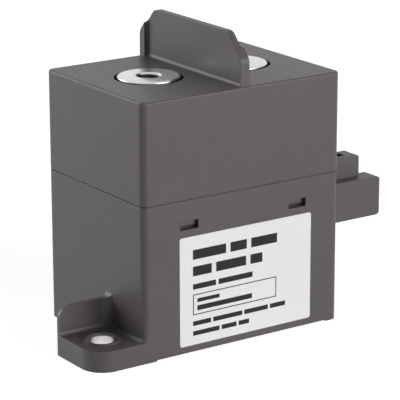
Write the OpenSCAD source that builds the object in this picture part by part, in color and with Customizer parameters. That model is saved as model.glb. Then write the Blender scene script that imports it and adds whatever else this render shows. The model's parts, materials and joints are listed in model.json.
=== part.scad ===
// High voltage DC contactor: moulded two-part housing with diagonal feet, two tapped terminals
// and a barrier between them, around a sealed ceramic contact chamber and a plunger magnet.
// Origin at the middle of the housing's base, +Z up, label face towards -Y, connector at +X.

/* [Housing] */
// Length of the housing along its label face
body_l = 55.2; // [52:0.2:64]
// Depth of the housing from the label face to the back
body_d = 41.5; // [38:0.5:48]
// Height of the cover's top face above the base
body_h = 61; // [59:0.5:70]
// Height of the seam between lower housing and cover
seam_z = 37; // [36:0.5:40]
// Wall thickness of lower housing and cover
wall = 1.8; // [1.4:0.1:2]
// Thickness of the lower housing's floor
floor_t = 2; // [1.6:0.1:3]
// Thickness of the cover's top
roof_t = 2; // [1.6:0.1:3]
// Radius of the upright corners
corner_r = 1.7; // [1:0.1:2.5]
// Radius of the cover's top edges
top_edge_r = 0.5; // [0.3:0.1:1]
// Height of the groove along the seam
seam_gap = 0.3; // [0.2:0.05:0.5]
// Depth of the groove along the seam
seam_depth = 0.35; // [0.2:0.05:0.6]
// Length of the pads at both ends of the base
pad_l = 3.4; // [2:0.2:6]
// Height of those pads
pad_h = 0.3; // [0.2:0.05:0.6]
// Thickness of the ribs under the yoke plate
rib_t = 1.6; // [1.2:0.1:2.4]
// Distance between the two ribs at each end
rib_pitch = 6; // [4:0.2:7]
// How far a rib reaches under the yoke plate
rib_lap = 1; // [0.6:0.1:1.6]

/* [Barrier] */
// Height of the barrier above the cover
barrier_h = 12; // [8:0.5:16]
// Thickness of the barrier's plate
barrier_t = 1.6; // [1.2:0.1:2.4]
// Height of its sloped corners
slope_h = 5.9; // [3:0.1:7]
// Depth of its sloped corners
slope_d = 5.2; // [3:0.1:8]
// Rounding of the sloped corners
slope_r = 2.6; // [1:0.1:4]
// Depth of the bar at each end of the plate
bar_d = 2.1; // [1.4:0.1:3]
// How far each bar stands out of the plate
bar_proud = 0.85; // [0.4:0.05:1.4]
// Radius of the fillet along the plate's foot
bead_r = 0.9; // [0.4:0.1:1.4]
// Distance of the barrier's ends from the housing's faces
barrier_inset = 0.4; // [0:0.05:1]

/* [Feet] */
// How far a foot reaches out of the end wall
foot_l = 13.2; // [12:0.2:18]
// Width of a foot
foot_w = 16.4; // [14:0.1:18]
// Thickness of a foot
foot_t = 5; // [4:0.1:7]
// Radius of a foot's outer corner
foot_r = 5.6; // [3:0.1:6.5]
// Height of the wall along a foot's inner side
gusset_h = 11.9; // [9:0.1:18]
// Thickness of that wall
gusset_t = 1.2; // [0.8:0.1:2]
// Rounding of that wall's outer corner and of its run into the housing
gusset_r = 2.9; // [1.5:0.1:3.5]
// Radius where that wall's top runs up into the housing
gusset_root_r = 1.6; // [0.8:0.1:3]
// Radius of the hollow corner between that wall and the housing
pocket_r = 2.4; // [1:0.1:3]
// Radius of the fillets around a foot's top
foot_fillet = 0.9; // [0.3:0.1:1.2]
// Distance of a foot's hole from the end wall
hole_x = 6.5; // [6:0.1:8.4]
// Distance of a foot's hole from the foot's flush side
hole_y = 7.7; // [6:0.1:8.4]
// Outer diameter of a foot's metal bush
bush_d = 6.8; // [6.4:0.1:7.2]
// Bore of that bush
bush_bore = 5.5; // [5.2:0.1:5.8]
// Outer diameter of the raised ring around the bush
ring_d = 8.6; // [8.4:0.1:9.6]
// Height of the raised ring
ring_h = 0.4; // [0.2:0.05:0.8]

/* [Snap latches] */
// Width of a latch window
window_w = 5; // [4:0.1:7]
// Height of a latch window
window_h = 2.1; // [1.8:0.1:3]
// Depth of a window's middle below the seam
window_drop = 6; // [5:0.1:8]
// Place along X of the label face's left window
window_left = -15.2; // [-17:0.1:-10]
// Place along X of the label face's right window
window_right = 15.2; // [10:0.1:17]
// Thickness of a latch arm
arm_t = 1.2; // [1:0.1:1.6]
// How far a latch nose stands out of its arm
nose_out = 0.8; // [0.6:0.05:1.6]
// Height of a latch arm's root inside the cover
arm_root = 3.6; // [2:0.1:5]
// How far an arm reaches below its window
arm_end = 0.8; // [0.4:0.1:1.4]
// Height of the upright lip of a latch nose
nose_lip = 1.2; // [0.3:0.05:1.3]
// How far the foot of a nose's slope stands out of its arm
nose_toe = 0.5; // [0:0.05:0.9]
// Gap below a nose in its window
nose_gap = 0.35; // [0.1:0.05:0.8]
// Gap on both sides of a nose in its window
nose_side = 0.25; // [0.1:0.05:0.5]

/* [Label] */
// Width of the label
label_w = 37.2; // [20:0.2:46]
// Height of the label
label_h = 26.2; // [12:0.2:26.5]
// Place of its middle along X
label_x = 0.65; // [-2:0.05:2]
// Height of its lower edge above the base
label_z = 2; // [0.5:0.05:2.4]
// Thickness of the label
label_t = 0.12; // [0.08:0.02:0.3]
// Radius of its corners
label_r = 0.6; // [0.2:0.1:2]

/* [Connector] */
// Distance of the socket's side from the label face
socket_y = 5.5; // [3.6:0.1:6]
// Width of the socket nose
socket_w = 4.9; // [4.6:0.1:7]
// Height of the socket nose
socket_h = 9.7; // [9:0.1:10.5]
// How far the socket nose stands out of the end wall
socket_l = 16.9; // [15:0.1:20]
// Wall thickness of the socket nose
socket_wall = 0.75; // [0.6:0.05:1]
// Depth of the socket
socket_depth = 10; // [6:0.1:12]
// Distance of the lock block's side from the socket's side
lock_y = 3.3; // [2:0.1:4]
// Width of the lock block
lock_w = 4.8; // [4:0.1:6]
// Height of the lock block, up to the seam
lock_h = 5.3; // [4:0.1:5.8]
// How far the lock block stands out of the end wall
lock_l = 13; // [11:0.1:14.5]
// Length of the slot in the lock block's top
slot_l = 4.4; // [3:0.1:5]
// Width of that slot
slot_w = 2.4; // [1:0.1:2.8]
// Depth of that slot
slot_depth = 3.5; // [2:0.1:4]
// Distance of that slot from the lock block's end
slot_x = 3.7; // [2:0.1:4]
// Distance of that slot from the lock block's side
slot_y = 1.1; // [0.8:0.1:1.4]
// Thickness of the flanges on both sides of the end wall
flange_t = 1; // [0.8:0.1:1.4]
// How far those flanges reach past the wall's slot
flange_lap = 1; // [0.6:0.1:1.4]
// Rounding of the connector's upright end edges
block_r = 0.3; // [0.2:0.1:1.2]
// Rounding of the connector's upper and lower end edges
block_edge_r = 1.2; // [0.3:0.1:1.4]
// Side of the square contact pins
pin_s = 0.8; // [0.6:0.05:1]
// Distance between the two pins
pin_pitch = 4.2; // [3.4:0.1:4.8]
// Length of a pin behind the inner flange
pin_tail = 1.5; // [1.2:0.1:1.7]
// Distance of the pins' tips behind the socket's mouth
pin_back = 2.2; // [1:0.1:4]
// Length of a pin's taper
pin_taper = 1.2; // [0.6:0.1:2]
// Diameter of the coil's lead wires
lead_d = 0.9; // [0.6:0.1:1.2]
// Gap between the lead wires and the yoke beside them
lead_room = 0.4; // [0.3:0.1:1]

/* [Terminals] */
// Distance between the two terminals
term_pitch = 24.7; // [23:0.1:26.6]
// Diameter of a terminal's head
term_d = 14.8; // [12:0.1:16]
// How far a head stands above the cover
term_proud = 0.45; // [0.2:0.05:1]
// Gap around a head in the cover
term_gap = 0.7; // [0.4:0.05:1]
// Height of a head above the ceramic
head_h = 7.45; // [6:0.05:9]
// Chamfer of a head's rim
head_chamfer = 0.5; // [0.1:0.05:0.8]
// Core diameter of the tapped hole
tap_d = 5; // [4:0.1:6.6]
// Depth of the tapped hole
tap_depth = 9; // [7:0.5:11]
// Countersink around the tapped hole's mouth
tap_sink = 0.55; // [0.2:0.05:0.8]
// Diameter of a terminal's stem inside the chamber
stem_d = 9.6; // [8:0.1:11]
// Length of a stem below the ceramic's top
stem_l = 8.5; // [7:0.1:10]

/* [Contact chamber] */
// Gap between the contact bridge's ends and the chamber's walls
bridge_room = 0.6; // [0.4:0.1:1]
// Height of the ceramic chamber
chamber_h = 18; // [17:0.2:19]
// Side wall of the ceramic chamber
chamber_wall = 2.5; // [2:0.1:2.7]
// Top wall of the ceramic chamber
chamber_roof = 3; // [2:0.1:4]
// Radius of the chamber's upright corners
chamber_r = 3; // [2.8:0.1:5]
// Radius of the corners inside the chamber
hollow_r = 1; // [0.5:0.1:2]
// Height of the metal frame under the ceramic
skirt_h = 2.1; // [1.8:0.1:3]
// Thickness of that frame
skirt_t = 0.8; // [0.5:0.1:1.2]
// Width of that frame's flange
skirt_lip = 1.2; // [0.6:0.1:1.4]
// Thickness of the arc shield on the chamber's floor
shield_t = 1; // [0.6:0.1:1.4]
// Thickness of the blow-out magnets
magnet_t = 2.8; // [2:0.1:3]
// Length of the blow-out magnets
magnet_l = 30; // [20:0.5:36]
// Height of the blow-out magnets
magnet_h = 12; // [8:0.5:14]
// Thickness of the steel clip around the magnets
clip_t = 1.2; // [0.8:0.1:1.4]

/* [Moving contact] */
// Gap between open contacts
contact_gap = 1.7; // [1.2:0.1:2.2]
// Thickness of the contact bridge
bridge_t = 3; // [2.4:0.1:3.4]
// Width of the contact bridge
bridge_w = 9; // [7:0.1:12]
// How far the bridge reaches past the stems
bridge_over = 1; // [0:0.1:1.4]
// Radius of the bridge's corners
bridge_r = 2; // [0.5:0.1:3]
// Travel of the plunger
travel = 2.3; // [2.3:0.1:3]
// Diameter of the plunger shaft
shaft_d = 4; // [3.4:0.1:4.6]
// Thickness of the clip above the bridge
ring_t = 0.8; // [0.6:0.1:1.2]
// Diameter of that clip and of the spring seat
seat_d = 9; // [8.4:0.1:10]
// Thickness of the spring seat
seat_t = 0.9; // [0.7:0.1:1.2]
// Outer diameter of the contact spring
contact_spring_d = 8; // [7:0.1:8.4]
// Wire of the contact spring
contact_wire = 0.9; // [0.7:0.05:1]
// Turns of the contact spring
contact_turns = 2.5; // [2:0.5:3]
// Height of the contact spring at rest
contact_spring_h = 4; // [3.8:0.1:4.6]

/* [Magnet drive] */
// Thickness of the yoke plate under the chamber
plate_t = 2.6; // [2:0.1:3.4]
// How far the yoke plate reaches past the flange of the chamber's frame
plate_lip = 0.1; // [0:0.05:0.6]
// Radius of the yoke plate's corners
plate_r = 2; // [1:0.1:4]
// Thickness of the U-shaped yoke
yoke_t = 2; // [1.5:0.1:2.6]
// Width of the U-shaped yoke
yoke_w = 22; // [18:0.5:24]
// Diameter of the moving and the fixed core
core_d = 13; // [11:0.1:14.5]
// Height of the moving core
moving_core_h = 12; // [9:0.1:13]
// Wall of the sleeve around the cores
sleeve_t = 0.4; // [0.3:0.05:0.6]
// Diameter of the sleeve's flange
sleeve_flange_d = 18; // [17.4:0.1:22]
// Thickness of the rubber pad under the moving core
pad_t = 1; // [0.6:0.1:1.6]
// How far that pad stays inside the moving core's edge
pad_inset = 0.5; // [0.2:0.1:2]
// Diameter of the fixed core's head
core_head_d = 16; // [15.2:0.1:18]
// Outer diameter of the return spring
return_spring_d = 7.2; // [6.4:0.1:8]
// Wire of the return spring
return_wire = 0.8; // [0.6:0.05:0.9]
// Turns of the return spring
return_turns = 6.5; // [4:0.5:7.5]
// Depth of the spring's seat in each core
spring_seat = 5; // [4:0.1:6]
// Wall of the coil bobbin's tube
bobbin_wall = 0.8; // [0.6:0.1:1.2]
// Thickness of the bobbin's flanges
bobbin_flange = 1.2; // [0.8:0.1:1.8]
// How far the winding stays inside the flanges
winding_inset = 1.4; // [0.8:0.1:2.4]

/* [Clearances] */
// Gap between pieces that are fitted together
fit = 0.05; // [0.03:0.01:0.1]
// Gap between a sliding shaft or core and its bore, on the radius
slide_fit = 0.08; // [0.05:0.01:0.1]
// Gap between neighbours inside the housing
room = 0.2; // [0.15:0.05:0.3]
// Gap left between the two cores and between the contacts at full travel
stop_gap = 0.06; // [0.05:0.01:0.1]

/* [Hidden] */
$fn = 64;
// Overlap that joins the features of one moulded piece
bite = 0.4;
// How far a cut passes the face that it opens
over = 1;
// Thickness of the slices that a hull joins
slice = 0.01;
// Smallest corner radius inside the housing
least_r = 0.4;

// Faces of the housing
end_x = body_l / 2;
face_y = body_d / 2;
inner_x = end_x - wall;
inner_y = face_y - wall;
barrier_y = face_y - barrier_inset;

// Snap latches
arm_y = inner_y - fit;
arm_inner_y = arm_y - arm_t;
window_z = seam_z - window_drop;

// Contact chamber and what surrounds it, from the contacts outwards and from the cover wall inwards
bridge_l = term_pitch + stem_d + 2 * bridge_over;
chamber_l = bridge_l + 2 * (bridge_room + chamber_wall);
clip_y = arm_inner_y - room;
magnet_y = clip_y - clip_t - fit;
chamber_d = 2 * (magnet_y - magnet_t - fit);
chamber_top = body_h + term_proud - head_h;
chamber_z = chamber_top - chamber_h;
chamber_ceiling = chamber_top - chamber_roof;
magnet_z = chamber_z + (chamber_h - magnet_h) / 2;
stem_z = chamber_top - stem_l;
hole_d = term_d + 2 * term_gap;
collar_d = hole_d + 2 * wall;

// Magnet drive, from the chamber down to the floor
plate_top = chamber_z - skirt_h;
plate_z = plate_top - plate_t;
plate_l = chamber_l + 2 * (skirt_lip + plate_lip);
plate_w = 2 * (arm_inner_y - room);
yoke_top = floor_t + yoke_t;
sleeve_d = core_d + 2 * slide_fit + 2 * sleeve_t;
bobbin_top = plate_z - sleeve_t;
bobbin_bore = sleeve_d + 2 * fit;
flange_d = plate_w;
winding_d = flange_d - 2 * winding_inset;
winding_bore = bobbin_bore + 2 * (bobbin_wall + fit);
winding_z = (yoke_top + bobbin_top) / 2;
yoke_x = flange_d / 2 + room;
moving_core_z = yoke_top + sleeve_t + pad_t + fit;
moving_core_top = moving_core_z + moving_core_h;
fixed_core_z = moving_core_top + travel + stop_gap;
bridge_top = stem_z - contact_gap;
bridge_z = bridge_top - bridge_t;
seat_z = bridge_z - contact_spring_h;
seat_under = seat_z - seat_t;
shaft_top = bridge_top + fit + 2 * ring_t;

// Connector, from the seam downwards
socket_top = seam_z - lock_h;
socket_z = socket_top - socket_h;
socket_side = -face_y + socket_y;
socket_mid = socket_side + socket_w / 2;
socket_mid_z = socket_z + socket_h / 2;
root_w = lock_y + lock_w;
pin_end = inner_x - flange_t - fit - pin_tail;
pin_tip = end_x + socket_l - pin_back;

// Feet
hole_at = [-end_x - hole_x, -face_y + hole_y];
gusset_y = -face_y + foot_w - gusset_t;

// Colours of the pieces
plastic = [0.40, 0.385, 0.39];
copper = [0.78, 0.48, 0.30];
silver = [0.80, 0.80, 0.81];
steel = [0.60, 0.61, 0.63];
ceramic = [0.93, 0.92, 0.88];

// Rectangle with rounded corners around the origin
module rounded_rect(l, d, r) {
    square([l - 2 * r, d], center = true);
    square([l, d - 2 * r], center = true);
    for (x = [-1, 1], y = [-1, 1])
        translate([x * (l / 2 - r), y * (d / 2 - r)])
            circle(r);
}

// Outline of the housing, set in from its outer faces
module outline(inset = 0) {
    rounded_rect(body_l - 2 * inset, body_d - 2 * inset, max(corner_r - inset, least_r));
}

// Hollow corner between two walls along +X and +Y
module fillet_section(r) {
    difference() {
        translate([-bite, -bite])
            square(r + bite);
        translate([r, r])
            circle(r);
    }
}

// The same shape twice, turned half round about the upright axis
module both_ends() {
    children();
    rotate(180)
        children();
}

// Round ring standing on the XY plane
module tube(d, bore, h) {
    difference() {
        cylinder(d = d, h = h);
        translate([0, 0, -over])
            cylinder(d = bore, h = h + 2 * over);
    }
}

// Point on the middle line of a helical spring
function spring_point(d, wire, turns, h, a) =
    let (lift = (h - wire) * a / (360 * turns), r = (d - wire) / 2)
    [r * cos(a), r * sin(a), wire / 2 + lift];

// Helical compression spring standing on the XY plane
module spring(d, wire, turns, h) {
    sides = 8;
    steps = floor(turns * 20);
    rings = [for (i = [0:steps])
        let (a = i * 360 * turns / steps, p = spring_point(d, wire, turns, h, a))
        for (k = [0:sides - 1])
            let (b = k * 360 / sides, out = wire / 2 * cos(b))
            [p[0] + out * cos(a), p[1] + out * sin(a), p[2] + wire / 2 * sin(b)]];
    sleeve_faces = [for (i = [0:steps - 1], k = [0:sides - 1])
        let (n = (k + 1) % sides)
        [i * sides + k, (i + 1) * sides + k, (i + 1) * sides + n, i * sides + n]];
    ends = [[for (k = [0:sides - 1]) k], [for (k = [sides - 1:-1:0]) steps * sides + k]];
    polyhedron(points = rings, faces = concat(sleeve_faces, ends), convexity = 10);
}

// Plan of the left foot, with its large outer corner
module foot_plan() {
    x = -end_x - foot_l;
    translate([x + foot_r, -face_y])
        square([foot_l - foot_r + corner_r + bite, foot_w]);
    translate([x, -face_y + foot_r])
        square([foot_l, foot_w - foot_r]);
    translate([x + foot_r, -face_y + foot_r])
        circle(foot_r);
}

// Side view of the wall along the foot, running up into the housing
module gusset_side() {
    x = -end_x - foot_l;
    translate([x, 0])
        square([foot_l + bite, gusset_h - gusset_r]);
    translate([x + gusset_r, 0])
        square([foot_l - gusset_r + bite, gusset_h]);
    translate([x + gusset_r, gusset_h - gusset_r])
        circle(gusset_r);
    translate([-end_x, gusset_h])
        mirror([1, 0])
            fillet_section(gusset_root_r);
}

// Plan of that wall, with its hollow corner at the housing
module gusset_plan() {
    translate([-end_x - foot_l, gusset_y])
        square([foot_l + bite, gusset_t]);
    translate([-end_x, gusset_y])
        rotate(180)
            fillet_section(pocket_r);
}

// Hollow corners along a foot's top, past the wall and round the housing's corner
module foot_coves() {
    intersection() {
        translate([0, 0, foot_t - over])
            linear_extrude(foot_fillet + 2 * over)
                foot_plan();
        union() {
            translate([-end_x - foot_l, gusset_y, foot_t])
                rotate([90, 0, 90])
                    linear_extrude(foot_l)
                        mirror([1, 0])
                            fillet_section(foot_fillet);
            translate([-end_x, gusset_y, foot_t])
                rotate([90, 0, 0])
                    linear_extrude(foot_w - gusset_t - corner_r)
                        mirror([1, 0])
                            fillet_section(foot_fillet);
            translate([-end_x + corner_r, -face_y + corner_r, foot_t])
                rotate(180)
                    rotate_extrude(angle = 90)
                        translate([corner_r, 0])
                            fillet_section(foot_fillet);
        }
    }
}

// Left foot with its wall and raised ring, before the hole is cut
module foot() {
    linear_extrude(foot_t)
        foot_plan();
    intersection() {
        linear_extrude(gusset_h + gusset_root_r)
            gusset_plan();
        translate([0, gusset_y + gusset_t + over, 0])
            rotate([90, 0, 0])
                linear_extrude(gusset_t + pocket_r + 2 * over)
                    gusset_side();
    }
    foot_coves();
    translate(hole_at)
        cylinder(d = ring_d, h = foot_t + ring_h);
}

// Windows of the label face, one opening per latch nose
module latch_windows() {
    for (x = [window_left, window_right])
        translate([x - window_w / 2, -face_y - over, window_z - window_h / 2])
            cube([window_w, wall + 2 * over, window_h]);
}

// Ribs at one end of the lower housing that carry the yoke plate
module plate_ribs() {
    for (y = [-1, 1])
        translate([-inner_x - bite, y * rib_pitch / 2 - rib_t / 2, floor_t - bite])
            cube([inner_x - plate_l / 2 + rib_lap + bite, rib_t, plate_z - floor_t + bite]);
}

// Slot in the end wall that the connector slides into from above
module connector_slot() {
    translate([inner_x - over, socket_side - fit, socket_z - fit])
        cube([wall + 2 * over, root_w + 2 * fit, seam_z]);
}

module lower_housing() {
    color(plastic) {
        difference() {
            union() {
                linear_extrude(seam_z - seam_gap / 2)
                    outline();
                linear_extrude(seam_z)
                    outline(seam_depth);
                both_ends()
                    foot();
            }
            translate([0, 0, floor_t])
                linear_extrude(seam_z)
                    outline(wall);
            translate([-end_x + pad_l, -face_y - over, -over])
                cube([body_l - 2 * pad_l, body_d + 2 * over, pad_h + over]);
            both_ends()
                latch_windows();
            both_ends()
                translate([hole_at[0], hole_at[1], -over])
                    cylinder(d = bush_d + 2 * fit, h = foot_t + ring_h + 2 * over);
            both_ends()
                translate([hole_at[0], hole_at[1], foot_t + fit])
                    cylinder(d1 = bush_d + 2 * fit, d2 = bush_d + 2 * ring_h, h = ring_h);
            connector_slot();
        }
        both_ends()
            plate_ribs();
    }
}

// Outline of the barrier seen along X, standing on the cover's top
module barrier_side() {
    offset(r = slope_r)
        offset(delta = -slope_r)
            polygon([[-barrier_y, -4 * slope_r], [-barrier_y, barrier_h - slope_h],
                     [-barrier_y + slope_d, barrier_h], [barrier_y - slope_d, barrier_h],
                     [barrier_y, barrier_h - slope_h], [barrier_y, -4 * slope_r]]);
}

// Barrier plate with a bar at each end, one bar towards each terminal
module barrier() {
    translate([0, 0, body_h])
        intersection() {
            translate([-barrier_y, -barrier_y, -roof_t / 2])
                cube([2 * barrier_y, 2 * barrier_y, barrier_h + roof_t]);
            union() {
                rotate([90, 0, 90])
                    linear_extrude(barrier_t, center = true)
                        barrier_side();
                both_ends()
                    rotate([90, 0, 90])
                        linear_extrude(barrier_t / 2 + bar_proud)
                            intersection() {
                                barrier_side();
                                translate([-barrier_y, -5 * slope_r])
                                    square([bar_d, barrier_h + 6 * slope_r]);
                            }
                both_ends()
                    translate([barrier_t / 2, barrier_y - fit, 0])
                        rotate([90, 0, 0])
                            linear_extrude(2 * barrier_y - bar_d - fit)
                                fillet_section(bead_r);
            }
        }
}

// Latch arm of the cover at one window, with its nose
module latch_arm(x) {
    nose_top = window_z + window_h / 2 - fit;
    nose_foot = window_z - window_h / 2 + nose_gap;
    arm_z = window_z - window_h / 2 - arm_end;
    nose_w = window_w - 2 * nose_side;
    translate([x - nose_w / 2, -arm_y, arm_z])
        cube([nose_w, arm_t, seam_z + arm_root - arm_z]);
    translate([x - nose_w / 2, -inner_y - bite, seam_z + seam_gap])
        cube([nose_w, arm_t + bite, arm_root - seam_gap]);
    translate([x - nose_w / 2, 0, 0])
        rotate([90, 0, 90])
            linear_extrude(nose_w)
                polygon([[-arm_y + bite, nose_top], [-arm_y - nose_out, nose_top],
                         [-arm_y - nose_out, nose_top - nose_lip],
                         [-arm_y - nose_toe, nose_foot], [-arm_y + bite, nose_foot]]);
}

// Outer form of the cover: upright walls and a rounded top edge
module cover_form() {
    straight_top = body_h - top_edge_r;
    slices = 4;
    translate([0, 0, seam_z + seam_gap / 2])
        linear_extrude(straight_top - seam_z - seam_gap / 2)
            outline();
    translate([0, 0, seam_z])
        linear_extrude(seam_gap)
            outline(seam_depth);
    hull()
        for (i = [0:slices])
            translate([0, 0, straight_top + top_edge_r * sin(90 * i / slices) - slice])
                linear_extrude(slice)
                    outline(top_edge_r * (1 - cos(90 * i / slices)));
}

module top_cover() {
    color(plastic)
        difference() {
            union() {
                difference() {
                    cover_form();
                    translate([0, 0, seam_z - over])
                        linear_extrude(body_h - roof_t - seam_z + over)
                            outline(wall);
                }
                for (x = [-1, 1])
                    translate([x * term_pitch / 2, 0, chamber_top + room])
                        cylinder(d = collar_d, h = body_h - roof_t - chamber_top);
                barrier();
                both_ends() {
                    latch_arm(window_left);
                    latch_arm(window_right);
                }
            }
            for (x = [-1, 1])
                translate([x * term_pitch / 2, 0, chamber_top - over])
                    cylinder(d = hole_d, h = head_h + barrier_h);
        }
}

module rating_label() {
    color("white")
        translate([label_x, -face_y, label_z + label_h / 2])
            rotate([90, 0, 0])
                linear_extrude(label_t)
                    rounded_rect(label_w, label_h, label_r);
}

// Metal bush in a foot, flush with the base
module foot_bush() {
    color(silver)
        translate(hole_at)
            tube(bush_d, bush_bore, foot_t);
}

module foot_bush_left() {
    foot_bush();
}

module foot_bush_right() {
    rotate(180)
        foot_bush();
}

// Rectangle from the origin along +X, with both far corners rounded
module round_ended(l, w, r) {
    square([l - r, w]);
    translate([0, r])
        square([l, w - 2 * r]);
    for (y = [r, w - r])
        translate([l - r, y])
            circle(r);
}

// Block that stands out of the end wall, with rounded end edges
module connector_block(side, w, z, h, l) {
    translate([inner_x, side, z])
        intersection() {
            linear_extrude(h)
                round_ended(l + wall, w, block_r);
            translate([0, w + over, 0])
                rotate([90, 0, 0])
                    linear_extrude(w + 2 * over)
                        round_ended(l + wall, h, block_edge_r);
        }
}

// Pocket for one contact pin through the connector
module pin_hole(z) {
    s = pin_s + 2 * fit;
    translate([0, socket_mid - s / 2, z - s / 2])
        cube([end_x + socket_l, s, s]);
}

module coil_connector() {
    flange_w = root_w + 2 * flange_lap;
    flange_z = socket_z - flange_lap;
    color(plastic)
        difference() {
            union() {
                connector_block(socket_side, socket_w, socket_z, socket_h, socket_l);
                connector_block(socket_side + lock_y, lock_w, socket_top - block_edge_r,
                                lock_h + block_edge_r, lock_l);
                translate([inner_x - bite, socket_side, socket_z])
                    cube([wall + 2 * bite, root_w, seam_z - socket_z]);
                translate([end_x + fit, socket_side - flange_lap, flange_z])
                    cube([flange_t, flange_w, seam_z - flange_z]);
                translate([inner_x - flange_t - fit, socket_side - flange_lap, flange_z])
                    cube([flange_t, flange_w, min(seam_z, plate_z - room) - flange_z]);
            }
            translate([end_x + socket_l - socket_depth, socket_side + socket_wall, socket_z + socket_wall])
                cube([socket_depth + over, socket_w - 2 * socket_wall, socket_h - 2 * socket_wall]);
            translate([end_x + lock_l - slot_x - slot_l, socket_side + lock_y + slot_y, seam_z - slot_depth])
                cube([slot_l, slot_w, slot_depth + over]);
            for (z = [-1, 1])
                pin_hole(socket_mid_z + z * pin_pitch / 2);
        }
}

// Square contact pin with a tapered tip
module coil_pin(z) {
    pin_l = pin_tip - pin_end;
    color(silver)
        translate([pin_end, socket_mid, z]) {
            translate([0, -pin_s / 2, -pin_s / 2])
                cube([pin_l - pin_taper, pin_s, pin_s]);
            hull() {
                translate([pin_l - pin_taper - slice, -pin_s / 2, -pin_s / 2])
                    cube([slice, pin_s, pin_s]);
                translate([pin_l - slice, -pin_s / 4, -pin_s / 4])
                    cube([slice, pin_s / 2, pin_s / 2]);
            }
        }
}

module coil_pin_upper() {
    coil_pin(socket_mid_z + pin_pitch / 2);
}

module coil_pin_lower() {
    coil_pin(socket_mid_z - pin_pitch / 2);
}

// Round wire between two points
module wire(p, q, d) {
    run = q - p;
    translate(p)
        rotate([0, acos(run[2] / norm(run)), atan2(run[1], run[0])])
            cylinder(d = d, h = norm(run));
}

// Lead wires from the winding past the yoke and up both sides of the pins' tails
module coil_leads() {
    side = pin_s / 2 + fit + lead_d / 2;
    mid_y = -yoke_w / 2 - lead_room - lead_d / 2 - side;
    winding_r = winding_d / 2 + fit;
    bend_x = pin_end + lead_d / 2;
    bend_d = lead_d + 4 * fit;
    color(copper)
        for (k = [-1, 1]) {
            y = mid_y - k * side;
            z = winding_z + k * pin_pitch / 2;
            pin_y = socket_mid - k * side;
            reach = sqrt(max(winding_r * winding_r - pow(abs(y) - lead_d / 2, 2), 0));
            route = [[reach, y, z], [yoke_x + yoke_t, y, z], [bend_x, pin_y, z],
                     [bend_x, pin_y, socket_mid_z + (k * pin_pitch + pin_s) / 2]];
            for (i = [0:2])
                wire(route[i], route[i + 1], lead_d);
            for (i = [1:2])
                translate(route[i])
                    rotate(80)
                        sphere(d = bend_d);
        }
}

// Tapped main terminal, turned from its head down to the contact face
module terminal(x) {
    head_top = body_h + term_proud;
    tap_r = tap_d / 2;
    color(silver)
        translate([x, 0, 0])
            rotate_extrude()
                polygon([[0, stem_z], [stem_d / 2, stem_z],
                         [stem_d / 2, chamber_top], [term_d / 2, chamber_top],
                         [term_d / 2, head_top - head_chamfer], [term_d / 2 - head_chamfer, head_top],
                         [tap_r + tap_sink, head_top], [tap_r, head_top - tap_sink],
                         [tap_r, head_top - tap_depth], [0, head_top - tap_depth]]);
}

module terminal_left() {
    terminal(-term_pitch / 2);
}

module terminal_right() {
    terminal(term_pitch / 2);
}

module ceramic_chamber() {
    inner_l = chamber_l - 2 * chamber_wall;
    inner_d = chamber_d - 2 * chamber_wall;
    color(ceramic)
        difference() {
            translate([0, 0, chamber_z])
                linear_extrude(chamber_h)
                    rounded_rect(chamber_l, chamber_d, chamber_r);
            translate([0, 0, chamber_z - over])
                linear_extrude(chamber_ceiling - chamber_z + over)
                    rounded_rect(inner_l, inner_d, hollow_r);
            for (x = [-1, 1])
                translate([x * term_pitch / 2, 0, chamber_z])
                    cylinder(d = stem_d + 2 * fit, h = chamber_h + over);
        }
}

// Thin metal frame that joins the ceramic to the yoke plate
module skirt_frame() {
    flange_l = chamber_l + 2 * skirt_lip;
    flange_w = chamber_d + 2 * skirt_lip;
    color(steel)
        translate([0, 0, plate_top])
            difference() {
                union() {
                    linear_extrude(skirt_h)
                        rounded_rect(chamber_l, chamber_d, chamber_r);
                    linear_extrude(skirt_t)
                        rounded_rect(flange_l, flange_w, chamber_r + skirt_lip);
                }
                translate([0, 0, -over])
                    linear_extrude(skirt_h + 2 * over)
                        rounded_rect(chamber_l - 2 * skirt_t, chamber_d - 2 * skirt_t, chamber_r - skirt_t);
            }
}

// Insulating plate on the chamber's floor
module arc_shield() {
    l = chamber_l - 2 * (skirt_t + room);
    d = chamber_d - 2 * (skirt_t + room);
    color([0.86, 0.82, 0.70])
        translate([0, 0, plate_top])
            difference() {
                linear_extrude(shield_t)
                    rounded_rect(l, d, chamber_r - skirt_t - room);
                translate([0, 0, -over])
                    cylinder(d = core_head_d + 2 * room, h = shield_t + 2 * over);
            }
}

// Blow-out magnet on one long side of the chamber
module magnet() {
    color([0.25, 0.25, 0.27])
        translate([-magnet_l / 2, -magnet_y, magnet_z])
            cube([magnet_l, magnet_t, magnet_h]);
}

module magnet_front() {
    magnet();
}

module magnet_rear() {
    rotate(180)
        magnet();
}

// Steel band around both magnets
module magnet_clip() {
    half_l = chamber_l / 2 + fit + clip_t;
    color(steel)
        translate([0, 0, magnet_z])
            difference() {
                linear_extrude(magnet_h)
                    rounded_rect(2 * half_l, 2 * clip_y, chamber_r + clip_t);
                translate([0, 0, -over])
                    linear_extrude(magnet_h + 2 * over)
                        rounded_rect(2 * (half_l - clip_t), 2 * (clip_y - clip_t), chamber_r);
            }
}

// Copper bar that joins the two stems when it is lifted
module contact_bridge() {
    color(copper)
        translate([0, 0, bridge_z])
            difference() {
                linear_extrude(bridge_t)
                    rounded_rect(bridge_l, bridge_w, bridge_r);
                translate([0, 0, -over])
                    cylinder(d = shaft_d + 2 * slide_fit, h = bridge_t + 2 * over);
            }
}

module contact_spring() {
    color(steel)
        translate([0, 0, seat_z])
            spring(contact_spring_d, contact_wire, contact_turns, contact_spring_h);
}

module plunger_shaft() {
    color(steel)
        translate([0, 0, moving_core_z])
            cylinder(d = shaft_d, h = shaft_top - moving_core_z);
}

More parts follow.
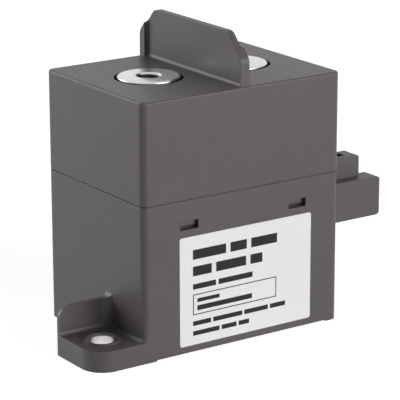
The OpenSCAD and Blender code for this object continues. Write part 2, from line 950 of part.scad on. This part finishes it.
// Clip on the shaft that holds the bridge down on its spring
module retaining_clip() {
    color(steel)
        translate([0, 0, bridge_top + fit])
            tube(seat_d, shaft_d + 2 * fit, ring_t);
}

// Washer on the shaft that carries the contact spring
module spring_seat_washer() {
    color(steel)
        translate([0, 0, seat_under])
            tube(seat_d, shaft_d + 2 * fit, seat_t);
}

module moving_core() {
    color(steel)
        difference() {
            translate([0, 0, moving_core_z])
                tube(core_d, shaft_d + 2 * fit, moving_core_h);
            translate([0, 0, moving_core_top - spring_seat])
                cylinder(d = return_spring_d + 4 * fit, h = spring_seat + over);
        }
}

module return_spring() {
    h = 2 * spring_seat + travel + stop_gap;
    color(steel)
        translate([0, 0, moving_core_top - spring_seat])
            spring(return_spring_d, return_wire, return_turns, h);
}

// Core fixed in the yoke plate, with the shaft's bore and the spring's seat
module fixed_core() {
    color(steel)
        difference() {
            union() {
                translate([0, 0, fixed_core_z])
                    cylinder(d = core_d, h = plate_top - fixed_core_z + shield_t);
                translate([0, 0, plate_top])
                    cylinder(d = core_head_d, h = shield_t);
            }
            translate([0, 0, fixed_core_z - over])
                cylinder(d = shaft_d + 2 * slide_fit, h = plate_top + shield_t);
            translate([0, 0, fixed_core_z - over])
                cylinder(d = return_spring_d + 4 * fit, h = spring_seat + over);
        }
}

// Thin cup around both cores
module core_sleeve() {
    bore = core_d + 2 * slide_fit;
    color(silver)
        difference() {
            union() {
                translate([0, 0, yoke_top])
                    cylinder(d = sleeve_d, h = plate_z - yoke_top);
                translate([0, 0, plate_z - sleeve_t])
                    cylinder(d = sleeve_flange_d, h = sleeve_t);
            }
            translate([0, 0, yoke_top + sleeve_t])
                cylinder(d = bore, h = plate_z);
        }
}

module buffer_pad() {
    color([0.12, 0.12, 0.13])
        translate([0, 0, yoke_top + sleeve_t])
            cylinder(d = core_d - 2 * pad_inset, h = pad_t);
}

module yoke_plate() {
    color(steel)
        translate([0, 0, plate_z])
            difference() {
                linear_extrude(plate_t)
                    rounded_rect(plate_l, plate_w, plate_r);
                translate([0, 0, -over])
                    cylinder(d = core_d + 2 * fit, h = plate_t + 2 * over);
            }
}

// U-shaped yoke around the coil
module yoke_frame() {
    color(steel) {
        translate([-yoke_x - yoke_t, -yoke_w / 2, floor_t])
            cube([2 * (yoke_x + yoke_t), yoke_w, yoke_t]);
        both_ends()
            translate([-yoke_x - yoke_t, -yoke_w / 2, floor_t])
                cube([yoke_t, yoke_w, plate_z - floor_t]);
    }
}

module coil_bobbin() {
    color([0.85, 0.83, 0.78])
        translate([0, 0, yoke_top])
            difference() {
                union() {
                    cylinder(d = bobbin_bore + 2 * bobbin_wall, h = bobbin_top - yoke_top);
                    cylinder(d = flange_d, h = bobbin_flange);
                    translate([0, 0, bobbin_top - yoke_top - bobbin_flange])
                        cylinder(d = flange_d, h = bobbin_flange);
                }
                translate([0, 0, -over])
                    cylinder(d = bobbin_bore, h = bobbin_top);
            }
}

module coil_winding() {
    color(copper)
        translate([0, 0, yoke_top + bobbin_flange])
            tube(winding_d, winding_bore, bobbin_top - yoke_top - 2 * bobbin_flange);
}

lower_housing();
top_cover();
rating_label();
foot_bush_left();
foot_bush_right();
coil_connector();
coil_pin_upper();
coil_pin_lower();
coil_leads();
terminal_left();
terminal_right();
ceramic_chamber();
skirt_frame();
arc_shield();
magnet_front();
magnet_rear();
magnet_clip();
contact_bridge();
contact_spring();
plunger_shaft();
retaining_clip();
spring_seat_washer();
moving_core();
return_spring();
fixed_core();
core_sleeve();
buffer_pad();
yoke_plate();
yoke_frame();
coil_bobbin();
coil_winding();
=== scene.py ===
"""Looks of a box-shaped high voltage DC contactor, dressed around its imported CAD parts."""
import json
import math

import bpy
from mathutils import Matrix, Vector


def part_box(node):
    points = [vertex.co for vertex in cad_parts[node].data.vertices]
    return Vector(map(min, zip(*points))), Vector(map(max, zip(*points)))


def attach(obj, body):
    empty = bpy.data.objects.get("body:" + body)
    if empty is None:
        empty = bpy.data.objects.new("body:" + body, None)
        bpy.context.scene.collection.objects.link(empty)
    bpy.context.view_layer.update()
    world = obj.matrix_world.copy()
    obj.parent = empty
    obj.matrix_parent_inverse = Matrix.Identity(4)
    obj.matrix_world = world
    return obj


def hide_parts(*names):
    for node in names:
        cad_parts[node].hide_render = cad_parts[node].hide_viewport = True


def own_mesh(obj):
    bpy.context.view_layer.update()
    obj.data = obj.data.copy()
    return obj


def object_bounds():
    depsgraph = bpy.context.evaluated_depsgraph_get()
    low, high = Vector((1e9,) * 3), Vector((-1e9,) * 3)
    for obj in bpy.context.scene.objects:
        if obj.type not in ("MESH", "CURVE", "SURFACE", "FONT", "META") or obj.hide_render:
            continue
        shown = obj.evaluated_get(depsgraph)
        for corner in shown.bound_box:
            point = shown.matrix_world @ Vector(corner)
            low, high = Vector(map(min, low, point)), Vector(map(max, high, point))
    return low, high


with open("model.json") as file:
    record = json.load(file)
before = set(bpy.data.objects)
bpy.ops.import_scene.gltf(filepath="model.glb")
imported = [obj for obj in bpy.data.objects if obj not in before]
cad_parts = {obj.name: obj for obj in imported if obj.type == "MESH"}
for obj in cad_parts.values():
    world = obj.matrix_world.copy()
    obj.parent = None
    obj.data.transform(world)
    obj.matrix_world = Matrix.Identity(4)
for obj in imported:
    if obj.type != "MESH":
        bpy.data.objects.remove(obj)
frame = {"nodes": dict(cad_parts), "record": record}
cad_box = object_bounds()
nodes = frame["nodes"]

MM = 0.001

# Camera that sees the part as the photograph does
CAMERA_AT = (-279.4, -411.9, 176.7)
CAMERA_AZIMUTH = -34.33
CAMERA_ELEVATION = 16.495
CAMERA_ROLL = -0.13
FOCAL_PX = 2182
IMAGE_PX = 400
SENSOR_MM = 36

# Turned terminals with an M6 thread
HEAD_ROUND = 0.5
ROUND_STEPS = 6
HEAD_H = 7.45
STEM_D = 9.6
TAP_CORE_D = 5.0
TAP_DEPTH = 9.0
TAP_SINK = 0.55
THREAD_PITCH = 1.0
THREAD_DEPTH = 0.48
# Painted shade band on the terminals: its start, full, fade and end in mm below the head's top, and its
# level
SHADE_START = 0.15
SHADE_FULL = 0.55
SHADE_FADE = 1.5
SHADE_END = 2.4
SHADE_LEVEL = 0.15

# Fillets between the barrier's plate and its end bars
BARRIER_T = 1.6
BARRIER_H = 12.0
BARRIER_INSET = 0.4
BAR_D = 2.1
SLOPE_H = 5.9
SLOPE_D = 5.2
FILLET_R = 0.75
FILLET_STEPS = 6

# Print on the label, as plain bars
INK_LIFT = 0.03
INK_MARGIN = 3.6
WORD_GAP = 0.55
FRAME_LINE = 0.22
FRAME_W, FRAME_H, FRAME_Z = 23.6, 5.0, 7.2

# Studio: azimuth, elevation in degrees and power in watts of each softbox
LEFT_SOFTBOX = (128, 12, 18.0)
RIGHT_SOFTBOX = (289, 11, 25.0)
SOFTBOX_AWAY = 1600
SOFTBOX_SIZE = 1200
FILL_LEVEL = 0.025
FILL_COLOUR = (1, 0.86, 0.68, 1)
FLOOR_SIZE = 3000
FLOOR_COLOUR = (0.82, 0.82, 0.82, 1)
FLOOR_GLOW = 0.82
WHITE = (1, 1, 1, 1)

# Facets of the turned terminals
TURN_STEPS = 96
ROWS_PER_PITCH = 12
SHARP_DEG = 28


def new_material(name):
    """A material with only a Principled shader, and the parts needed to build on it."""
    material = bpy.data.materials.new(name)
    material.use_nodes = True
    tree = material.node_tree
    tree.nodes.clear()
    output = tree.nodes.new("ShaderNodeOutputMaterial")
    shader = tree.nodes.new("ShaderNodeBsdfPrincipled")
    tree.links.new(shader.outputs["BSDF"], output.inputs["Surface"])
    return material, tree, shader


def noise(tree, scale, detail=3.0, stretch=None):
    """Noise over the part's own coordinates, in features of about 1 / scale metres."""
    coordinates = tree.nodes.new("ShaderNodeTexCoord")
    texture = tree.nodes.new("ShaderNodeTexNoise")
    texture.inputs["Scale"].default_value = scale
    texture.inputs["Detail"].default_value = detail
    if stretch:
        mapping = tree.nodes.new("ShaderNodeMapping")
        mapping.inputs["Scale"].default_value = stretch
        tree.links.new(coordinates.outputs["Object"], mapping.inputs["Vector"])
        tree.links.new(mapping.outputs["Vector"], texture.inputs["Vector"])
    else:
        tree.links.new(coordinates.outputs["Object"], texture.inputs["Vector"])
    return texture.outputs["Fac"]


def ramp(tree, value, low, high):
    """Two colours blended by a value from 0.3 to 0.7."""
    blend = tree.nodes.new("ShaderNodeValToRGB")
    blend.color_ramp.elements[0].position = 0.3
    blend.color_ramp.elements[1].position = 0.7
    blend.color_ramp.elements[0].color = (*low, 1)
    blend.color_ramp.elements[1].color = (*high, 1)
    tree.links.new(value, blend.inputs["Fac"])
    return blend.outputs["Color"]


def span(tree, value, low, high):
    """A value from 0.3 to 0.7 spread over a range."""
    node = tree.nodes.new("ShaderNodeMapRange")
    node.inputs["From Min"].default_value = 0.3
    node.inputs["From Max"].default_value = 0.7
    node.inputs["To Min"].default_value = low
    node.inputs["To Max"].default_value = high
    tree.links.new(value, node.inputs["Value"])
    return node.outputs["Result"]


def soft_edges(tree, radius_mm):
    """Normals that round sharp edges by a small radius."""
    node = tree.nodes.new("ShaderNodeBevel")
    node.samples = 6
    node.inputs["Radius"].default_value = radius_mm * MM
    return node.outputs["Normal"]


def bump(tree, shader, height, depth_mm, normal=None):
    """Surface relief of a real depth."""
    node = tree.nodes.new("ShaderNodeBump")
    node.inputs["Strength"].default_value = 1.0
    node.inputs["Distance"].default_value = depth_mm * MM
    tree.links.new(height, node.inputs["Height"])
    if normal:
        tree.links.new(normal, node.inputs["Normal"])
    tree.links.new(node.outputs["Normal"], shader.inputs["Normal"])


def tinted(colour, factor):
    return tuple(channel * factor for channel in colour)


def moulded_plastic(name, colour):
    """Matt injection-moulded plastic with a fine eroded grain."""
    material, tree, shader = new_material(name)
    tone = ramp(tree, noise(tree, 90), tinted(colour, 0.97), tinted(colour, 1.03))
    tree.links.new(tone, shader.inputs["Base Color"])
    tree.links.new(span(tree, noise(tree, 900), 0.40, 0.48), shader.inputs["Roughness"])
    shader.inputs["Specular IOR Level"].default_value = 0.42
    bump(tree, shader, noise(tree, 4200, 2.0), 0.006, soft_edges(tree, 0.18))
    return material


def plain_metal(name, colour, roughness, stretch=None, relief_mm=0.004):
    """Bare or plated metal with faint drawn or rolled lines."""
    material, tree, shader = new_material(name)
    lines = noise(tree, 1500, 2.0, stretch)
    tone = ramp(tree, lines, tinted(colour, 0.93), tinted(colour, 1.04))
    tree.links.new(tone, shader.inputs["Base Color"])
    tree.links.new(span(tree, lines, roughness - 0.05, roughness + 0.06), shader.inputs["Roughness"])
    shader.inputs["Metallic"].default_value = 1.0
    bump(tree, shader, lines, relief_mm, soft_edges(tree, 0.1))
    return material


def painted_shade_band(tree, colour, split, top):
    """A colour with a band of painted shade a little below a height, which darkens the tapped hole and
    the head's rim and side as if they lay in shade.
    """
    place = tree.nodes.new("ShaderNodeMapRange")
    place.inputs["From Min"].default_value = top - SHADE_END * MM
    place.inputs["From Max"].default_value = top
    tree.links.new(split.outputs["Z"], place.inputs["Value"])
    shade = tree.nodes.new("ShaderNodeValToRGB")
    levels = shade.color_ramp.elements
    levels[0].color = levels[1].color = WHITE
    levels[1].position = 1 - SHADE_START / SHADE_END
    for drop in (SHADE_FADE, SHADE_FULL):
        levels.new(1 - drop / SHADE_END).color = (SHADE_LEVEL, SHADE_LEVEL, SHADE_LEVEL, 1)
    tree.links.new(place.outputs["Result"], shade.inputs["Fac"])
    scale = tree.nodes.new("ShaderNodeVectorMath")
    scale.operation = "SCALE"
    tree.links.new(colour, scale.inputs["Vector"])
    tree.links.new(shade.outputs["Color"], scale.inputs["Scale"])
    return scale.outputs["Vector"]


def turned_metal(name, colour, roughness, centre, top=None):
    """Metal turned about two upright axes that mirror each other in the YZ plane or half round, with a
    band of painted shade below a top height when one is given.
    """
    material, tree, shader = new_material(name)
    coordinates = tree.nodes.new("ShaderNodeTexCoord")
    split = tree.nodes.new("ShaderNodeSeparateXYZ")
    tree.links.new(coordinates.outputs["Object"], split.inputs["Vector"])
    parts = []
    for axis, middle in zip("XY", centre):
        size = tree.nodes.new("ShaderNodeMath")
        size.operation = "ABSOLUTE"
        tree.links.new(split.outputs[axis], size.inputs[0])
        offset = tree.nodes.new("ShaderNodeMath")
        offset.operation = "SUBTRACT"
        offset.inputs[1].default_value = middle
        tree.links.new(size.outputs[0] if middle else split.outputs[axis], offset.inputs[0])
        parts.append(offset.outputs[0])
    join = tree.nodes.new("ShaderNodeCombineXYZ")
    tree.links.new(parts[0], join.inputs["X"])
    tree.links.new(parts[1], join.inputs["Y"])
    rings = tree.nodes.new("ShaderNodeTexWave")
    rings.wave_type = "RINGS"
    rings.rings_direction = "Z"
    rings.inputs["Scale"].default_value = 700
    rings.inputs["Distortion"].default_value = 1.5
    rings.inputs["Detail"].default_value = 2.0
    tree.links.new(join.outputs["Vector"], rings.inputs["Vector"])
    tone = ramp(tree, noise(tree, 500), tinted(colour, 0.96), tinted(colour, 1.03))
    # Painted shade in the tapped hole and on the head's rim and side, below the top
    if top:
        tone = painted_shade_band(tree, tone, split, top)
    tree.links.new(tone, shader.inputs["Base Color"])
    rough = span(tree, rings.outputs["Fac"], roughness - 0.04, roughness + 0.04)
    tree.links.new(rough, shader.inputs["Roughness"])
    shader.inputs["Metallic"].default_value = 1.0
    bump(tree, shader, rings.outputs["Fac"], 0.002)
    return material


def mineral(name, colour, roughness, scale=1200, relief_mm=0.008):
    """Ceramic, pressed board, rubber or coating with a mottled grain."""
    material, tree, shader = new_material(name)
    grain = noise(tree, scale, 4.0)
    tone = ramp(tree, grain, tinted(colour, 0.92), tinted(colour, 1.05))
    tree.links.new(tone, shader.inputs["Base Color"])
    tree.links.new(span(tree, grain, roughness - 0.06, roughness + 0.06), shader.inputs["Roughness"])
    bump(tree, shader, grain, relief_mm, soft_edges(tree, 0.12))
    return material


def wound_wire(name, colour, wire_mm):
    """Enamelled wire wound in layers around an upright axis."""
    material, tree, shader = new_material(name)
    coordinates = tree.nodes.new("ShaderNodeTexCoord")
    turns = tree.nodes.new("ShaderNodeTexWave")
    turns.bands_direction = "Z"
    turns.inputs["Scale"].default_value = math.pi / (10 * wire_mm * MM)
    turns.inputs["Distortion"].default_value = 0.3
    tree.links.new(coordinates.outputs["Object"], turns.inputs["Vector"])
    tone = ramp(tree, turns.outputs["Fac"], tinted(colour, 0.6), tinted(colour, 1.1))
    tree.links.new(tone, shader.inputs["Base Color"])
    tree.links.new(span(tree, noise(tree, 900), 0.3, 0.4), shader.inputs["Roughness"])
    shader.inputs["Metallic"].default_value = 0.8
    bump(tree, shader, turns.outputs["Fac"], wire_mm / 3)
    return material


def label_film(name):
    """White plastic film with a faint satin mottle."""
    material, tree, shader = new_material(name)
    fibre = noise(tree, 700, 3.0)
    tone = ramp(tree, fibre, (0.955, 0.955, 0.955), (0.975, 0.975, 0.975))
    tree.links.new(tone, shader.inputs["Base Color"])
    tree.links.new(span(tree, fibre, 0.36, 0.46), shader.inputs["Roughness"])
    bump(tree, shader, fibre, 0.002)
    return material


def printing_ink(name):
    """Black print with slightly uneven cover."""
    material, tree, shader = new_material(name)
    cover = noise(tree, 2500, 3.0)
    tone = ramp(tree, cover, (0.010, 0.010, 0.011), (0.022, 0.022, 0.024))
    tree.links.new(tone, shader.inputs["Base Color"])
    tree.links.new(span(tree, cover, 0.5, 0.6), shader.inputs["Roughness"])
    shader.inputs["Specular IOR Level"].default_value = 0.2
    return material


PLASTIC = (0.0935, 0.082, 0.085)
SILVER = (0.66, 0.66, 0.65)
ZINC = (0.85, 0.84, 0.85)
STEEL = (0.56, 0.56, 0.57)
COPPER = (0.75, 0.42, 0.27)

first_tap = frame["record"]["mounts"][1]["pos_m"]
bush_low, bush_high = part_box("foot_bush_right")
bush_centre = (bush_low + bush_high) / 2

materials = {
    "housing_plastic": moulded_plastic("housing_plastic", PLASTIC),
    "connector_plastic": moulded_plastic("connector_plastic", PLASTIC),
    "label_film": label_film("label_film"),
    "bush_metal": turned_metal("bush_metal", ZINC, 0.22, (bush_centre.x, bush_centre.y)),
    "pin_metal": plain_metal("pin_metal", (0.78, 0.77, 0.73), 0.3, (0.2, 1, 1)),
    "bare_copper": plain_metal("bare_copper", COPPER, 0.33),
    "terminal_metal": turned_metal("terminal_metal", SILVER, 0.26, (abs(first_tap[0]), 0),
                                   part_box("terminal_left")[1].z),
    "white_ceramic": mineral("white_ceramic", (0.86, 0.85, 0.81), 0.55),
    "shield_ceramic": mineral("shield_ceramic", (0.76, 0.70, 0.54), 0.7),
    "frame_steel": plain_metal("frame_steel", STEEL, 0.36, (1, 1, 0.1)),
    "spring_steel": plain_metal("spring_steel", (0.48, 0.48, 0.50), 0.3),
    "core_iron": plain_metal("core_iron", (0.53, 0.53, 0.54), 0.4, (1, 1, 0.15)),
    "magnet_metal": mineral("magnet_metal", (0.20, 0.20, 0.21), 0.45),
    "pad_rubber": mineral("pad_rubber", (0.045, 0.045, 0.047), 0.8, 2200),
    "bobbin_plastic": moulded_plastic("bobbin_plastic", (0.74, 0.71, 0.64)),
    "winding_copper": wound_wire("winding_copper", (0.55, 0.25, 0.11), 0.3),
}
ink = printing_ink("label_ink")


def dress(piece, slot):
    """Gives a piece the material of its slot."""
    piece.data.materials.clear()
    piece.data.materials.append(materials[slot])


for part in frame["record"]["subparts"]:
    dress(nodes[part["node"]], part["material_slot"])


def new_piece(name, vertices, faces, material, body="housing"):
    """A mesh piece of the part, riding on a body."""
    mesh = bpy.data.meshes.new(name)
    mesh.from_pydata(vertices, [], faces)
    mesh.validate()
    mesh.materials.append(material)
    piece = bpy.data.objects.new(name, mesh)
    bpy.context.scene.collection.objects.link(piece)
    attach(piece, body)
    return piece


def smooth(piece, sharp_deg):
    """Smooth shading, with edges over an angle kept sharp."""
    piece.data.polygons.foreach_set("use_smooth", [True] * len(piece.data.polygons))
    piece.data.set_sharp_from_angle(angle=math.radians(sharp_deg))


def thread_radius(height, turn):
    """Radius of a metric thread's wall in mm, at a height in mm and a share of a turn."""
    phase = (height / THREAD_PITCH - turn) % 1.0
    flank = abs(2 * phase - 1)
    return TAP_CORE_D / 2 + THREAD_DEPTH * min(max(1.25 * flank - 0.125, 0), 1)


def terminal_rings(top, bottom):
    """Rings of a terminal from its contact face over the head into the hole, as functions of a turn."""
    head_r = (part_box("terminal_left")[1].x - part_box("terminal_left")[0].x) / 2 / MM
    stem_r = STEM_D / 2
    outline = [(stem_r, bottom), (stem_r, top - HEAD_H), (head_r, top - HEAD_H)]
    for step in range(ROUND_STEPS + 1):
        angle = math.pi / 2 * step / ROUND_STEPS
        outline.append((head_r - HEAD_ROUND * (1 - math.cos(angle)),
                        top - HEAD_ROUND * (1 - math.sin(angle))))
    rings = [(z, lambda turn, r=r: r) for r, z in outline]
    rows = int(TAP_DEPTH / THREAD_PITCH * ROWS_PER_PITCH)
    for row in range(rows + 1):
        drop = TAP_DEPTH * row / rows
        sink_r = TAP_CORE_D / 2 + TAP_SINK - drop
        rings.append((top - drop, lambda turn, d=drop, s=sink_r: max(s, thread_radius(-d, turn))))
    return rings


def threaded_terminal(node):
    """Turned terminal whose tapped hole has its thread."""
    low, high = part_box(node)
    centre = (low + high) / 2
    steps = TURN_STEPS
    rings = terminal_rings(high.z / MM, low.z / MM)
    vertices = []
    for z, radius in rings:
        for step in range(steps):
            turn = step / steps
            angle = 2 * math.pi * turn
            r = radius(turn) * MM
            vertices.append((centre.x + r * math.cos(angle), centre.y + r * math.sin(angle), z * MM))
    faces = [tuple(reversed(range(steps)))]
    for ring in range(len(rings) - 1):
        for step in range(steps):
            a = ring * steps + step
            b = ring * steps + (step + 1) % steps
            faces.append((a, b, b + steps, a + steps))
    faces.append(tuple(range((len(rings) - 1) * steps, len(rings) * steps)))
    piece = new_piece(node + "_threaded", vertices, faces, materials["terminal_metal"])
    smooth(piece, SHARP_DEG)
    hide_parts(node)


threaded_terminal("terminal_left")
threaded_terminal("terminal_right")


def bar_fillets():
    """Hollow fillets in the corners where the barrier's plate meets the bar at each end."""
    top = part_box("top_cover")[1]
    foot, end = top.z / MM - BARRIER_H, top.y / MM - BARRIER_INSET
    corner = (-BARRIER_T / 2, end - BAR_D)
    section = [corner]
    for step in range(FILLET_STEPS + 1):
        angle = math.pi / 2 * step / FILLET_STEPS
        section.append((corner[0] - FILLET_R * (1 - math.cos(angle)),
                        corner[1] - FILLET_R * (1 - math.sin(angle))))
    count = len(section)
    vertices, faces = [], []
    for side in (1, -1):
        start = len(vertices)
        vertices += [(side * x * MM, side * y * MM, foot * MM) for x, y in section]
        for x, y in section:
            slope = SLOPE_H * (y - end + SLOPE_D) / SLOPE_D
            vertices.append((side * x * MM, side * y * MM, (foot + BARRIER_H - slope) * MM))
        for i in range(count):
            j = (i + 1) % count
            faces.append((start + j, start + i, start + count + i, start + count + j))
        for i in range(1, count - 1):
            faces.append((start, start + i, start + i + 1))
            faces.append((start + count, start + count + i + 1, start + count + i))
    piece = new_piece("barrier_fillets", vertices, faces, materials["housing_plastic"])
    smooth(piece, SHARP_DEG)


bar_fillets()


def working_spring(node, body):
    """Copy of a spring that rides on a body, in place of its imported part."""
    piece = bpy.data.objects.new(node + "_working", nodes[node].data.copy())
    bpy.context.scene.collection.objects.link(piece)
    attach(piece, body)
    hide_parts(node)
    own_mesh(piece)


working_spring("return_spring", "housing")
working_spring("contact_spring", "plunger")

label_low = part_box("rating_label")[0]


def label_bars():
    """Bars of the label's print: x, z of the lower left corner, width and height in mm."""
    left = INK_MARGIN
    bars = []
    rows = [(20.6, 2.3, (9.2, 4.6, 7.4)), (16.6, 2.3, (5.2, 8.4, 3.4)), (13.4, 1.3, (6.4, 9.6)),
            (2.2, 1.1, (7.4, 4.2, 3.0)), (4.6, 1.1, (5.0, 8.2, 6.8, 4.4))]
    for z, height, words in rows:
        x = left
        for word in words:
            bars.append((x, z, word, height))
            x += word + WORD_GAP * height
    for z in (FRAME_Z, FRAME_Z + FRAME_H - FRAME_LINE):
        bars.append((left, z, FRAME_W, FRAME_LINE))
    for x in (left, left + FRAME_W - FRAME_LINE):
        bars.append((x, FRAME_Z, FRAME_LINE, FRAME_H))
    bars += [(left + 1.2, FRAME_Z + 3.0, 6.2, 0.9), (left + 1.2, FRAME_Z + 1.0, 15.4, 1.2)]
    return bars


def print_label():
    """Thin raised print on the label's face."""
    vertices, faces = [], []
    back = label_low.y
    front = back - INK_LIFT * MM
    for x, z, width, height in label_bars():
        x0, z0 = label_low.x + x * MM, label_low.z + z * MM
        x1, z1 = x0 + width * MM, z0 + height * MM
        start = len(vertices)
        for y in (back, front):
            vertices += [(x0, y, z0), (x1, y, z0), (x1, y, z1), (x0, y, z1)]
        for face in [(4, 5, 6, 7), (0, 1, 5, 4), (1, 2, 6, 5), (2, 3, 7, 6), (3, 0, 4, 7)]:
            faces.append(tuple(start + i for i in face))
    new_piece("label_print", vertices, faces, ink)


print_label()


def set_camera():
    azimuth, elevation = math.radians(CAMERA_AZIMUTH), math.radians(CAMERA_ELEVATION)
    back = Vector((math.sin(azimuth) * math.cos(elevation), -math.cos(azimuth) * math.cos(elevation),
                   math.sin(elevation)))
    right = Vector((math.cos(azimuth), math.sin(azimuth), 0))
    up = back.cross(right)
    roll = Matrix.Rotation(math.radians(CAMERA_ROLL), 4, "Z")
    turn = Matrix((right, up, back)).transposed().to_4x4() @ roll
    data = bpy.data.cameras.new("camera")
    data.sensor_width = SENSOR_MM
    data.lens = FOCAL_PX / IMAGE_PX * SENSOR_MM
    camera = bpy.data.objects.new("camera", data)
    camera.matrix_world = Matrix.Translation(Vector(CAMERA_AT) * MM) @ turn
    bpy.context.scene.collection.objects.link(camera)
    bpy.context.scene.camera = camera


set_camera()


def seen_directly(tree):
    """1 for rays that show the surroundings, straight or by a reflection, and 0 for light on the part."""
    path = tree.nodes.new("ShaderNodeLightPath")
    total = path.outputs["Is Camera Ray"]
    for kind in ("Is Glossy Ray", "Is Transmission Ray"):
        add = tree.nodes.new("ShaderNodeMath")
        add.operation = "MAXIMUM"
        tree.links.new(total, add.inputs[0])
        tree.links.new(path.outputs[kind], add.inputs[1])
        total = add.outputs[0]
    return total


def set_world():
    """White surroundings that light the part with a low, slightly warm fill."""
    world = bpy.data.worlds.new("studio")
    bpy.context.scene.world = world
    world.use_nodes = True
    tree = world.node_tree
    tree.nodes.clear()
    output = tree.nodes.new("ShaderNodeOutputWorld")
    blend = tree.nodes.new("ShaderNodeMixShader")
    lit, white = tree.nodes.new("ShaderNodeBackground"), tree.nodes.new("ShaderNodeBackground")
    lit.inputs["Strength"].default_value = FILL_LEVEL
    lit.inputs["Color"].default_value = FILL_COLOUR
    white.inputs["Strength"].default_value = 1.0
    white.inputs["Color"].default_value = WHITE
    tree.links.new(seen_directly(tree), blend.inputs["Fac"])
    tree.links.new(lit.outputs["Background"], blend.inputs[1])
    tree.links.new(white.outputs["Background"], blend.inputs[2])
    tree.links.new(blend.outputs["Shader"], output.inputs["Surface"])


def set_floor():
    """Pale floor under the part, which keeps the part's shadow."""
    bpy.ops.mesh.primitive_plane_add(size=FLOOR_SIZE * MM, location=(0, 0, cad_box[0][2]))
    floor = bpy.context.object
    floor.name = "floor"
    material = bpy.data.materials.new("floor")
    material.use_nodes = True
    tree = material.node_tree
    tree.nodes.clear()
    output = tree.nodes.new("ShaderNodeOutputMaterial")
    diffuse = tree.nodes.new("ShaderNodeBsdfDiffuse")
    diffuse.inputs["Color"].default_value = FLOOR_COLOUR
    glow = tree.nodes.new("ShaderNodeEmission")
    strength = tree.nodes.new("ShaderNodeMath")
    strength.operation = "MULTIPLY"
    strength.inputs[1].default_value = FLOOR_GLOW
    tree.links.new(seen_directly(tree), strength.inputs[0])
    tree.links.new(strength.outputs[0], glow.inputs["Strength"])
    add = tree.nodes.new("ShaderNodeAddShader")
    tree.links.new(diffuse.outputs["BSDF"], add.inputs[0])
    tree.links.new(glow.outputs["Emission"], add.inputs[1])
    tree.links.new(add.outputs["Shader"], output.inputs["Surface"])
    floor.data.materials.append(material)


def soft_light(name, azimuth, elevation, power):
    """Square softbox that points at the middle of the part."""
    a, e = math.radians(azimuth), math.radians(elevation)
    aim = Vector((cad_box[0][i] + cad_box[1][i] for i in range(3))) / 2
    direction = Vector((math.cos(a) * math.cos(e), math.sin(a) * math.cos(e), math.sin(e)))
    data = bpy.data.lights.new(name, "AREA")
    data.size = SOFTBOX_SIZE * MM
    data.energy = power
    light = bpy.data.objects.new(name, data)
    light.location = aim + SOFTBOX_AWAY * MM * direction
    light.rotation_euler = direction.to_track_quat("Z", "Y").to_euler()
    bpy.context.scene.collection.objects.link(light)


set_world()
set_floor()
soft_light("left_softbox", *LEFT_SOFTBOX)
soft_light("right_softbox", *RIGHT_SOFTBOX)

bpy.context.scene.view_settings.view_transform = "Standard"
